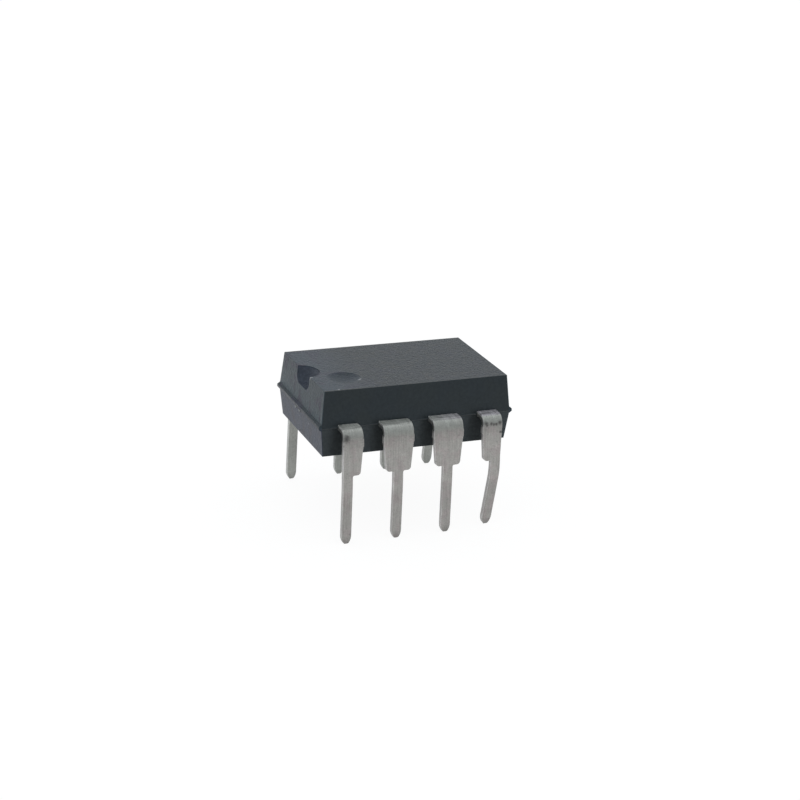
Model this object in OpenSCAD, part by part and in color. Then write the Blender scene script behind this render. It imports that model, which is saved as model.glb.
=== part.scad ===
// Dual in-line package with eight leads, in millimetres.
// The lead tips stand on the plane z = 0, the index notch is at the -X end, and the leads are
// numbered from the notch along the -Y row and back along the +Y row.

/* [Body] */
// Distance from the middle of a corner lead to the end of the body, at its parting plane
end_margin = 1.03; // [0.86:0.01:1.4]
// Width of the moulded body at its parting plane
body_width = 6.36; // [6.1:0.02:6.8]
// Height of the upper half of the body above the parting plane
upper_height = 1.78; // [1.5:0.02:2.1]
// Depth of the lower half of the body below the parting plane
lower_height = 1.46; // [1.1:0.02:1.8]
// Draft of the upper half's four sides, in degrees
upper_draft = 5.5; // [3:0.5:9]
// Draft of the lower half's four sides, in degrees
lower_draft = 6; // [3:0.5:9]
// Flat broken along the edges of the top and bottom faces
edge_break = 0.05; // [0.02:0.01:0.1]

/* [Parting ridge and seam] */
// How far the trimmed ridge of resin stands out of each end
ridge_proud = 0.12; // [0.08:0.01:0.2]
// Height of the ridge at its root
ridge_height = 0.34; // [0.26:0.02:0.5]
// Height of the flat to which the ridge's crest is trimmed
ridge_crest = 0.13; // [0.05:0.01:0.2]
// Height of the ridge's middle above the parting plane
ridge_rise = 0.03; // [0:0.01:0.1]
// How far the seam of the mould stands out of the long sides
seam_proud = 0.02; // [0.01:0.005:0.04]
// Height of the seam at its root
seam_height = 0.1; // [0.06:0.01:0.2]

/* [Index marks] */
// Radius of the half-round notch in the end beside the first and last leads
notch_radius = 0.93; // [0.6:0.01:1.1]
// Depth of the notch below the top face
notch_depth = 0.76; // [0.6:0.01:1.1]
// Radius between the notch's floor and its wall
notch_fillet = 0.45; // [0.1:0.01:0.5]
// Diameter of the shallow dish beside the first lead
dimple_diameter = 1.65; // [1:0.05:1.8]
// Depth of the dish at its middle
dimple_depth = 0.15; // [0.08:0.01:0.25]
// Distance from the notched end to the middle of the dish
dimple_from_end = 1.72; // [1.5:0.02:2]
// Distance from the side of the body to the middle of the dish
dimple_from_side = 1.8; // [1.5:0.02:2]
// Diameter of the ejector mark under the body
ejector_diameter = 1.6; // [1:0.1:2.4]
// Depth of the ejector mark
ejector_depth = 0.05; // [0.03:0.01:0.1]

/* [Leads outside the body] */
// Distance from one lead to the next
pitch = 2.54; // [2.4:0.02:2.8]
// How far a lead runs straight out of the side of the body before its bend
lead_run = 0.38; // [0.3:0.01:0.6]
// Length of a leg, from its tip up to the foot of the shoulder
leg_length = 3.38; // [2.8:0.02:4.2]
// Height of the underside of the body above the feet of the shoulders
standoff = 0.67; // [0.4:0.01:0.9]
// Thickness of the sheet that the leads are stamped from
sheet = 0.25; // [0.2:0.01:0.3]
// Inner radius of the bends
bend_radius = 0.2; // [0.15:0.01:0.3]
// Outward lean of the legs, in degrees
splay = 3.5; // [1:0.5:8]
// Width of a full shoulder
shoulder_width = 1.48; // [1.3:0.02:1.7]
// Width of a full shoulder just above its foot
shoulder_foot_width = 1.26; // [1.1:0.02:1.3]
// Radius of the lower corners of the shoulders
shoulder_corner = 0.18; // [0.1:0.01:0.22]
// Radius in the corner between a shoulder's foot and its leg
leg_fillet = 0.08; // [0.04:0.01:0.12]
// How far the trimmed bar between two leads stands out of their edges
trim_stub = 0.03; // [0.01:0.01:0.06]
// Drop of the trimmed bar's lower edge below the parting plane
trim_drop = 0.75; // [0.7:0.01:1]
// Height of the trimmed bar
trim_height = 0.4; // [0.2:0.02:0.5]
// Width of a leg
leg_width = 0.48; // [0.4:0.01:0.55]
// Length over which a leg narrows to its tip
tip_length = 0.42; // [0.2:0.02:0.6]
// Width of a tip at its end
tip_width = 0.16; // [0.1:0.02:0.3]
// Bevel on the two faces of the sheet at the tip
tip_bevel = 0.05; // [0.02:0.01:0.09]

/* [Bent leg of lead 4] */
// How far the tip has moved towards the middle of its row
bent_along = 0.3; // [0:0.02:0.5]
// How far the tip has moved in under the body
bent_inward = 0.35; // [0:0.02:0.5]
// Distance from the foot of the shoulder down to where the leg starts to bend
bent_below = 0.18; // [0.12:0.02:0.8]
// Length over which it bends, above its straight remainder
bent_over = 0.8; // [0.4:0.05:1.2]

/* [Lead frame inside the body] */
// Length of the die pad
pad_length = 2.6; // [2.2:0.1:3]
// Width of the die pad
pad_width = 2.1; // [1.8:0.1:2.3]
// Drop of the die pad below the leads
pad_drop = 0.2; // [0.1:0.02:0.3]
// Width of the two bars that tie the die pad to the ends
tie_width = 0.8; // [0.6:0.05:0.85]
// Width of the slot that splits the outer end of a tie bar into two prongs
tie_slot_width = 0.36; // [0.2:0.02:0.4]
// Length of that slot inside the body
tie_slot_length = 0.7; // [0.4:0.05:1]
// Distance from a prong's cut end back to the step from which it is half as thick
tie_step = 0.2; // [0.15:0.01:0.4]
// Gap between the die pad and the fingers, and between the fingers
frame_gap = 0.3; // [0.2:0.02:0.35]
// Width of the inner ends of the fingers
finger_width = 0.6; // [0.45:0.05:0.7]
// Depth inside the body at which the middle fingers start to narrow
neck_depth = 0.8; // [0.7:0.02:0.9]
// Diameter of the holes through which the resin locks the fingers
lock_diameter = 0.4; // [0.2:0.05:0.5]
// Depth of those holes' middles inside the body
lock_depth = 0.45; // [0.4:0.01:0.5]

/* [Die] */
// Length of the die
die_length = 1.6; // [1.4:0.1:2]
// Width of the die
die_width = 1.4; // [1.2:0.1:1.6]
// Height of the die
die_height = 0.3; // [0.2:0.02:0.38]
// Thickness of the die attach
attach_height = 0.03; // [0.02:0.005:0.05]
// How far the die attach reaches past the die all round
attach_margin = 0.06; // [0.02:0.01:0.09]

/* [Bond wires] */
// Diameter of the wires
wire_diameter = 0.04; // [0.03:0.005:0.05]
// Height of the loops above the die
loop_height = 0.22; // [0.18:0.01:0.3]
// Diameter of the flattened balls on the die
ball_diameter = 0.11; // [0.08:0.01:0.14]
// Height of the flattened balls and of the stitches
ball_height = 0.03; // [0.02:0.005:0.04]
// Distance from the edges of the die to the middles of the balls
bond_inset = 0.14; // [0.1:0.01:0.2]
// Distance from the tips of the fingers to the stitches
stitch_inset = 0.2; // [0.12:0.01:0.25]

/* [Hidden] */
$fn = 64;

resin_colour = [0.2, 0.21, 0.22];
tin_colour = [0.6, 0.59, 0.57];
frame_colour = [0.5, 0.5, 0.49];
attach_colour = [0.72, 0.72, 0.7];
silicon_colour = [0.28, 0.3, 0.38];
gold_colour = [0.85, 0.68, 0.3];

leads_per_row = 4;
bent_lead = 4;
wire_sides = 16;
bend_steps = 10;
corner_steps = 5;
past = 1; // how far a cutting shape runs past what it cuts

body_length = (leads_per_row - 1) * pitch + 2 * end_margin;
half_length = body_length / 2;
half_width = body_width / 2;
bottom_z = leg_length + standoff;
parting_z = bottom_z + lower_height;
top_z = parting_z + upper_height;

sheet_top = parting_z + sheet / 2;
sheet_bottom = parting_z - sheet / 2;
bend_z = sheet_bottom - bend_radius;
bend_y = half_width + lead_run;
trim_z = parting_z - trim_drop;
fillet_z = leg_length - leg_fillet;
bent_from = leg_length - bent_below;

pad_top = sheet_top - pad_drop;
pad_bottom = pad_top - sheet;
attach_top = pad_top + attach_height;
die_top = attach_top + die_height;

arm_start = tie_width / 2 + frame_gap;
arm_end = arm_start + finger_width;
corner_tip = pad_length / 2 + frame_gap;
middle_tip = max(pad_width / 2, arm_end) + frame_gap;

// Where lead n stands: its row, its distance along the row and whether it is at a corner
function row_sign(n) = n <= leads_per_row ? -1 : 1;
function lead_x(n) = pitch * (n <= leads_per_row ? n - 2.5 : 6.5 - n);
function is_corner(n) = abs(lead_x(n)) > pitch;

// Points on an arc about [x, y]
function arc(x, y, r, from, to, steps) =
    [for (i = [0 : steps]) let (a = from + (to - from) * i / steps) [x + r * cos(a), y + r * sin(a)]];

function mirrored(points) = [for (i = [len(points) - 1 : -1 : 0]) [-points[i][0], points[i][1]]];

// How far a bent leg has moved at height z, as a share of what its tip has moved
function bent_share(z) =
    let (below = max(0, bent_from - z), curve = min(below, bent_over))
    (curve * curve / (2 * bent_over) + below - curve) / (bent_from - bent_over / 2);
bent_heights = [for (i = [0 : bend_steps]) bent_from - bent_over * i / bend_steps];

// A formed leg's faces at height z, as distances from the middle plane: its outer face has a
// radius of bend_radius + sheet at the bend, its inner face one of bend_radius
function leg_face(z, radius, inward) =
    bend_y + radius / cos(splay) + (bend_z - z) * tan(splay) - inward * bent_share(z);

// Half of the body's outline, seen along the row or across it: distance from the middle, height.
// The crest points stand that far proud, over a root of that height with its middle at root_z
function drafted_side(half, proud, height, crest, root_z) = concat(
    [
        [half - upper_height * tan(upper_draft) - edge_break, top_z],
        [half - (upper_height - edge_break) * tan(upper_draft), top_z - edge_break],
        [half - (root_z + height / 2 - parting_z) * tan(upper_draft), root_z + height / 2]
    ],
    [for (z = crest == 0 ? [0] : [crest / 2, -crest / 2]) [half + proud, root_z + z]],
    [
        [half - (parting_z - root_z + height / 2) * tan(lower_draft), root_z - height / 2],
        [half - (lower_height - edge_break) * tan(lower_draft), bottom_z + edge_break],
        [half - lower_height * tan(lower_draft) - edge_break, bottom_z]
    ]
);

module upright_prism(points, length) {
    rotate([90, 0, 0]) linear_extrude(height = length, center = true) polygon(points);
}

// The drafted block: one outline drawn along the body, crossed with one drawn over its width
module resin_block() {
    along = drafted_side(half_length, ridge_proud, ridge_height, ridge_crest, parting_z + ridge_rise);
    across = drafted_side(half_width, seam_proud, seam_height, 0, parting_z);
    intersection() {
        upright_prism(concat(along, mirrored(along)), body_width + past);
        rotate([0, 0, 90]) upright_prism(concat(across, mirrored(across)), body_length + past);
    }
}

module index_notch() {
    drop = notch_depth - notch_fillet;
    fillet_radius = notch_radius - drop * tan(upper_draft) - notch_fillet / cos(upper_draft);
    translate([-half_length, 0, top_z]) rotate_extrude() polygon(concat(
        [[0, past], [0, -notch_depth]],
        arc(fillet_radius, -drop, notch_fillet, -90, -upper_draft, corner_steps),
        [[notch_radius, 0], [notch_radius, past]]
    ));
}

module index_dimple() {
    dish_radius = (pow(dimple_diameter / 2, 2) + pow(dimple_depth, 2)) / (2 * dimple_depth);
    translate([dimple_from_end - half_length, dimple_from_side - half_width, top_z - dimple_depth + dish_radius])
        sphere(r = dish_radius);
}

module ejector_mark() {
    translate([0, 0, bottom_z - past]) cylinder(h = past + ejector_depth, d = ejector_diameter);
}

module moulded_body() {
    color(resin_colour) difference() {
        resin_block();
        index_notch();
        index_dimple();
        ejector_mark();
        for (n = [1 : 2 * leads_per_row]) {
            placed(n) lead_finger(n);
            bond_wire(n);
        }
        pad_and_ties(half_length + past);
        die_attach();
        silicon_die();
    }
}

// Puts a lead drawn at x = 0 in the -Y row, with +X towards the middle, at its own place
module placed(n) {
    translate([lead_x(n), 0, 0])
        mirror([lead_x(n) > 0 ? 1 : 0, 0, 0])
            mirror([0, row_sign(n) > 0 ? 1 : 0, 0])
                children();
}

// The formed strip seen along the row: out of the body, over the bend and down to the tip
module strip_section(inward) {
    outer = bend_radius + sheet;
    inner = bend_radius;
    bevel_z = 2 * tip_bevel;
    heights = concat(inward == 0 ? [] : bent_heights, [bevel_z]);
    polygon(concat(
        [[bend_y - sheet, sheet_top]],
        arc(bend_y, bend_z, outer, 90, splay, bend_steps),
        [for (z = heights) [leg_face(z, outer, inward), z]],
        [[leg_face(0, outer, inward) - tip_bevel, 0], [leg_face(0, inner, inward) + tip_bevel, 0]],
        [for (i = [len(heights) - 1 : -1 : 0]) [leg_face(heights[i], inner, inward), heights[i]]],
        arc(bend_y, bend_z, inner, splay, 90, bend_steps),
        [[bend_y - sheet, sheet_bottom]]
    ));
}

// One edge of a lead seen from the side of the body, from the top down to the tip
function lead_edge(width, foot_width, has_shoulder, is_bent) =
    let (tip_arc = (pow(leg_width / 2 - tip_width / 2, 2) + pow(tip_length, 2)) / (leg_width - tip_width))
    concat(
        [
            [width, sheet_top + past],
            [width, trim_z + trim_height],
            [width + trim_stub, trim_z + trim_height],
            [width + trim_stub, trim_z],
            [width, trim_z]
        ],
        has_shoulder ? concat(
            arc(foot_width - shoulder_corner, leg_length + shoulder_corner, shoulder_corner, 0, -90, corner_steps),
            arc(leg_width / 2 + leg_fillet, fillet_z, leg_fillet, 90, 180, corner_steps)
        ) : [],
        [for (z = is_bent ? bent_heights : []) [leg_width / 2, z]],
        arc(leg_width / 2 - tip_arc, tip_length, tip_arc, 0, -asin(tip_length / tip_arc), corner_steps)
    );

// The stamped outline of a lead outside the body, with a leg whose tip has moved along the row
module stamped_outline(corner, along) {
    is_bent = along != 0;
    full = lead_edge(shoulder_width / 2, shoulder_foot_width / 2, true, is_bent);
    outer = corner ? lead_edge(leg_width / 2, leg_width / 2, false, is_bent) : full;
    polygon([for (p = concat(full, mirrored(outer))) [p[0] + along * bent_share(p[1]), p[1]]]);
}

// The flat finger inside the body, out to the start of the bend
module lead_finger(n) {
    outer_edge = is_corner(n) ? leg_width / 2 : shoulder_width / 2;
    inner_edge = shoulder_width / 2;
    centre = abs(lead_x(n));
    neck = half_width - neck_depth;
    narrowing = (shoulder_width - finger_width) / 2;
    corner_points = [
        [-outer_edge, -bend_y], [inner_edge, -bend_y],
        [inner_edge, -arm_end], [centre - corner_tip, -arm_end],
        [centre - corner_tip, -arm_start], [0, -arm_start],
        [-outer_edge, -arm_end]
    ];
    middle_points = [
        [-outer_edge, -bend_y], [inner_edge, -bend_y],
        [inner_edge, -neck], [finger_width / 2, narrowing - neck],
        [finger_width / 2, -middle_tip], [-finger_width / 2, -middle_tip],
        [-finger_width / 2, narrowing - neck], [-outer_edge, -neck]
    ];
    translate([0, 0, sheet_bottom]) linear_extrude(height = sheet) difference() {
        polygon(is_corner(n) ? corner_points : middle_points);
        translate([(inner_edge - outer_edge) / 2, lock_depth - half_width]) circle(d = lock_diameter);
    }
}

module lead(n) {
    along = n == bent_lead ? bent_along : 0;
    inward = n == bent_lead ? bent_inward : 0;
    color(tin_colour) placed(n) {
        lead_finger(n);
        intersection() {
            rotate([90, 0, -90]) linear_extrude(height = 2 * pitch, center = true)
                strip_section(inward);
            rotate([90, 0, 0]) linear_extrude(height = body_width)
                stamped_outline(is_corner(n), along);
        }
    }
}

// The die pad, dropped below the leads, with the bars that reach out to both ends, where they are
// split and, from a step on, half as thick
module pad_and_ties(reach) {
    slope_start = pad_length / 2 + pad_drop;
    slope_end = slope_start + pad_drop;
    step = half_length + ridge_proud - tie_step;
    upper = [
        [reach, parting_z], [step, parting_z], [step, sheet_top],
        [slope_end, sheet_top], [slope_start, pad_top]
    ];
    lower = [[slope_start, pad_bottom], [slope_end, sheet_bottom], [reach, sheet_bottom]];
    side = concat(lower, upper);
    translate([-pad_length / 2, -pad_width / 2, pad_bottom]) cube([pad_length, pad_width, sheet]);
    difference() {
        upright_prism(concat(side, mirrored(side)), tie_width);
        for (end = [-half_length, half_length])
            translate([end, 0, parting_z])
                cube([2 * tie_slot_length, tie_slot_width, 2 * sheet], center = true);
    }
}

module die_pad() {
    color(frame_colour) pad_and_ties(half_length + ridge_proud);
}

module die_attach() {
    length = die_length + 2 * attach_margin;
    width = die_width + 2 * attach_margin;
    color(attach_colour) translate([-length / 2, -width / 2, pad_top]) cube([length, width, attach_height]);
}

module silicon_die() {
    color(silicon_colour)
        translate([-die_length / 2, -die_width / 2, attach_top]) cube([die_length, die_width, die_height]);
}

// Ball, bend, falling span and stitch of one wire, drawn from x = 0 to x = span in the plane y = 0
module wire_loop(span) {
    start = die_top + ball_height / 2;
    bend = loop_height - ball_height / 2;
    drop = start - sheet_top;
    reach = norm([span - bend, drop]);
    fall = atan2(drop, span - bend) + asin(bend / reach);
    length = sqrt(reach * reach - bend * bend);
    translate([0, 0, die_top]) cylinder(h = ball_height, d = ball_diameter);
    translate([span, 0, sheet_top - ball_height]) cylinder(h = 2 * ball_height, d = ball_diameter);
    translate([bend, 0, start]) rotate([0, fall, 0]) {
        rotate([90, 0, 0]) rotate([0, 0, 90]) rotate_extrude(angle = 90 + fall)
            translate([bend, 0]) circle(d = wire_diameter, $fn = wire_sides);
        translate([0, 0, bend]) rotate([0, 90, 0]) cylinder(h = length, d = wire_diameter, $fn = wire_sides);
    }
}

// The wire from the die to the finger of lead n
module bond_wire(n) {
    side = lead_x(n) < 0 ? -1 : 1;
    corner = is_corner(n);
    ball = [
        side * (corner ? die_length / 2 - bond_inset : die_length / 4),
        row_sign(n) * (corner ? die_width / 4 : die_width / 2 - bond_inset)
    ];
    stitch = [
        corner ? side * (corner_tip + stitch_inset) : lead_x(n),
        row_sign(n) * (corner ? (arm_start + arm_end) / 2 : middle_tip + stitch_inset)
    ];
    step = stitch - ball;
    color(gold_colour) intersection() {
        translate([ball[0], ball[1], 0]) rotate([0, 0, atan2(step[1], step[0])]) wire_loop(norm(step));
        translate([-half_length, -half_width, sheet_top]) cube([body_length, body_width, upper_height]);
    }
}

moulded_body();
for (n = [1 : 2 * leads_per_row])
    lead(n);
die_pad();
die_attach();
silicon_die();
for (n = [1 : 2 * leads_per_row])
    bond_wire(n);
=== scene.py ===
"""Looks of a dual in-line integrated circuit with eight leads.

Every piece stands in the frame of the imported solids: metres, +X along the rows of leads and away
from the notched end, leads 1 to 4 on the -Y side, +Z up, and the tips of the leads on z = 0.
Sizes in the classes are in millimetres, as a maker writes them, and MM turns them into metres.
"""

import logging
import math
from dataclasses import dataclass
from enum import Enum
from typing import Callable

import bmesh
import bpy
from bmesh.types import BMEdge, BMFace
from bpy.types import Material, Node, NodeSocket, NodeTree, Object
from mathutils import Matrix, Vector


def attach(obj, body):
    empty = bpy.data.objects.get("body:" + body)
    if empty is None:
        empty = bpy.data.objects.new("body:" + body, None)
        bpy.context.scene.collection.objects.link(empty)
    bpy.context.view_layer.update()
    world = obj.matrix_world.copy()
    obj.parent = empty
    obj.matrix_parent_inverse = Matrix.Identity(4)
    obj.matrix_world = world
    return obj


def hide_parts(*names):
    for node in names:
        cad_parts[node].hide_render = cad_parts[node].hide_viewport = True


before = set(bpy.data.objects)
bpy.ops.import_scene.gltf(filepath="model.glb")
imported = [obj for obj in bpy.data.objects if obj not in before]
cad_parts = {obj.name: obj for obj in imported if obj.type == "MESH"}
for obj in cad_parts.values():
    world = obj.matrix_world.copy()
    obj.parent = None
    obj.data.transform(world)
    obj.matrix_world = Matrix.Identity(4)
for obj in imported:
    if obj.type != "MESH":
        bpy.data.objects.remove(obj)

MM = 0.001
TINY = 1e-7
RIGHT_ANGLE = math.pi / 2
LOG = logging.getLogger("package")


class LeadForm(Enum):
    """How the stamped outline of a lead runs."""

    CORNER = "shoulder on the inner side only"
    MIDDLE = "shoulder on both sides"


class Row(Enum):
    """The two rows of leads."""

    NEAR = -1
    FAR = 1


def metres(values: tuple) -> tuple:
    """Turns millimetres into metres."""
    return tuple(value * MM for value in values)


class Workpiece:
    """A mesh that is shaped with Blender's own operators, with sizes given in millimetres."""

    def __init__(self, name: str) -> None:
        """Takes the object that was added last, and puts its place into its mesh.

        Args:
            name: the name of the piece.
        """
        self.obj = bpy.context.active_object
        self.obj.name = name
        self.obj.data.name = name
        bpy.ops.object.transform_apply(location=True, rotation=True, scale=True)

    @classmethod
    def added(cls, name: str, adder: Callable, **settings: object) -> "Workpiece":
        """Adds a plain shape.

        Args:
            name: the name of the piece.
            adder: Blender's operator that adds it.
            **settings: what the operator gets, in metres.

        Returns:
            The piece.
        """
        bpy.ops.object.select_all(action="DESELECT")
        adder(**settings)
        return cls(name)

    @classmethod
    def block(cls, name: str, low: tuple, high: tuple) -> "Workpiece":
        """Adds a block between its lowest and its highest corner."""
        a, b = Vector(low) * MM, Vector(high) * MM
        return cls.added(name, bpy.ops.mesh.primitive_cube_add, size=1, location=(a + b) / 2, scale=b - a)

    @classmethod
    def plate(cls, name: str, low: tuple, high: tuple, z: float) -> "Workpiece":
        """Adds a flat face of no thickness that faces up.

        Args:
            name: the name of the piece.
            low: its lowest X and Y.
            high: its highest X and Y.
            z: its height.

        Returns:
            The plate.
        """
        a, b = Vector((*low, z)) * MM, Vector((*high, z)) * MM
        bpy.ops.object.select_all(action="DESELECT")
        bpy.ops.mesh.primitive_plane_add(size=1, location=(a + b) / 2)
        bpy.context.active_object.scale = (b.x - a.x, b.y - a.y, 1)
        return cls(name)

    @classmethod
    def cone(cls, name: str, low: tuple, height: float, radii: tuple, sides: int) -> "Workpiece":
        """Adds an upright cone, cut off at its head.

        Args:
            name: the name of the piece.
            low: the middle of its foot.
            height: its height.
            radii: the radius of its foot and that of its head.
            sides: how many sides stand for the circle.

        Returns:
            The cone.
        """
        foot, head = metres(radii)
        return cls.added(
            name, bpy.ops.mesh.primitive_cone_add, vertices=sides, radius1=foot, radius2=head,
            depth=height * MM, location=(Vector(low) + Vector((0, 0, height / 2))) * MM,
        )

    def activate(self) -> None:
        """Makes the piece the active one, and the only one that is selected."""
        bpy.ops.object.select_all(action="DESELECT")
        self.obj.select_set(True)
        bpy.context.view_layer.objects.active = self.obj

    def copy(self, name: str) -> "Workpiece":
        """Copies the piece with a mesh of its own.

        Args:
            name: the name of the copy.

        Returns:
            The copy.
        """
        self.activate()
        bpy.ops.object.duplicate(linked=False)
        return Workpiece(name)

    def scrap(self) -> None:
        """Removes a piece that was only a tool or a blank."""
        bpy.data.meshes.remove(self.obj.data)

    def shape(self) -> "Workpiece":
        """Opens the piece in edit mode. Returns the piece."""
        self.activate()
        bpy.ops.object.mode_set(mode="EDIT")
        return self

    def done(self) -> "Workpiece":
        """Goes back to object mode. Returns the piece."""
        bpy.ops.object.mode_set(mode="OBJECT")
        return self

    def pick(self, kind: str, test: Callable) -> None:
        """Selects what passes a test, and nothing else.

        Args:
            kind: "VERT", "EDGE" or "FACE".
            test: takes a BMesh element and says whether it is selected.
        """
        kinds = ("VERT", "EDGE", "FACE")
        bpy.context.tool_settings.mesh_select_mode = [kind == one for one in kinds]
        mesh = bmesh.from_edit_mesh(self.obj.data)
        mesh.select_mode = {kind}
        parts = (mesh.verts, mesh.edges, mesh.faces)
        for part in reversed(parts):
            for element in part:
                element.select = False
        for element in [e for e in parts[kinds.index(kind)] if test(e)]:
            element.select_set(True)
        mesh.select_flush_mode()
        bmesh.update_edit_mesh(self.obj.data)

    def pick_all(self) -> None:
        """Selects the whole mesh."""
        bpy.ops.mesh.select_all(action="SELECT")

    def move(self, x: float = 0, y: float = 0, z: float = 0) -> None:
        """Moves what is selected along X, Y and Z."""
        bpy.ops.transform.translate(value=(x * MM, y * MM, z * MM))

    def resize(self, factors: tuple, middle: tuple = (0, 0, 0)) -> None:
        """Resizes what is selected along X, Y and Z, round a point that stays."""
        bpy.ops.transform.resize(value=factors, center_override=Vector(middle) * MM)

    def extrude(self, x: float = 0, y: float = 0, z: float = 0) -> None:
        """Extrudes the selected edges or faces along X, Y and Z."""
        bpy.ops.mesh.extrude_region_move(TRANSFORM_OT_translate={"value": (x * MM, y * MM, z * MM)})

    def cut(self, point: tuple, normal: tuple) -> None:
        """Cuts the selected faces along the plane through a point that stands across a normal."""
        bpy.ops.mesh.bisect(plane_co=Vector(point) * MM, plane_no=normal, threshold=TINY)

    def bevel(self, width: float, steps: int, slot: int = -1) -> None:
        """Rounds the selected edges with faces of a material's slot, or of their neighbours' for -1."""
        bpy.ops.mesh.bevel(
            offset=width * MM, segments=steps, profile=0.5, affect="EDGES", clamp_overlap=True, material=slot
        )

    def modify(self, kind: str, **settings: object) -> None:
        """Adds a modifier and applies it.

        Args:
            kind: the kind of modifier.
            **settings: its settings.
        """
        self.activate()
        modifier = self.obj.modifiers.new(kind.lower(), kind)
        for key, value in settings.items():
            setattr(modifier, key, value)
        bpy.ops.object.modifier_apply(modifier=modifier.name)

    def note(self, name: str, value: Callable) -> None:
        """Writes an attribute on the points of the piece in edit mode, for its material.

        Args:
            name: the attribute's name.
            value: takes a point of the mesh and says what is written there.
        """
        mesh = bmesh.from_edit_mesh(self.obj.data)
        layer = mesh.verts.layers.float.new(name)
        for vert in mesh.verts:
            vert[layer] = value(vert)
        bmesh.update_edit_mesh(self.obj.data)

    def subtract(self, tool: "Workpiece") -> None:
        """Cuts a tool's shape out of the piece and scraps the tool."""
        self.modify("BOOLEAN", operation="DIFFERENCE", solver="EXACT", object=tool.obj)
        tool.scrap()

    def shade(self, angle: float) -> None:
        """Shades the piece smooth, with sharp edges over an angle and with its wide faces kept flat.

        Args:
            angle: the angle in degrees.
        """
        self.activate()
        bpy.ops.object.shade_smooth_by_angle(angle=math.radians(angle))
        self.modify("WEIGHTED_NORMAL", mode="FACE_AREA", weight=50, keep_sharp=True)

    def face_out(self) -> None:
        """Merges doubles and turns every face outwards."""
        self.shape()
        self.pick_all()
        bpy.ops.mesh.remove_doubles(threshold=TINY)
        bpy.ops.mesh.normals_make_consistent(inside=False)
        self.done()

    def dress(self, *finishes: Material) -> None:
        """Gives the piece its materials, in the order of the mesh's slots."""
        for finish in finishes:
            self.obj.data.materials.append(finish)

    def hand_over(self, node: str, slot: str) -> Object:
        """Lets the finished piece stand for its CAD node.

        Args:
            node: the CAD node that it stands for.
            slot: the record's material slot; not used.

        Returns:
            The finished object.
        """
        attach(self.obj, "root")
        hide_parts(node)
        return self.obj


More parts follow.
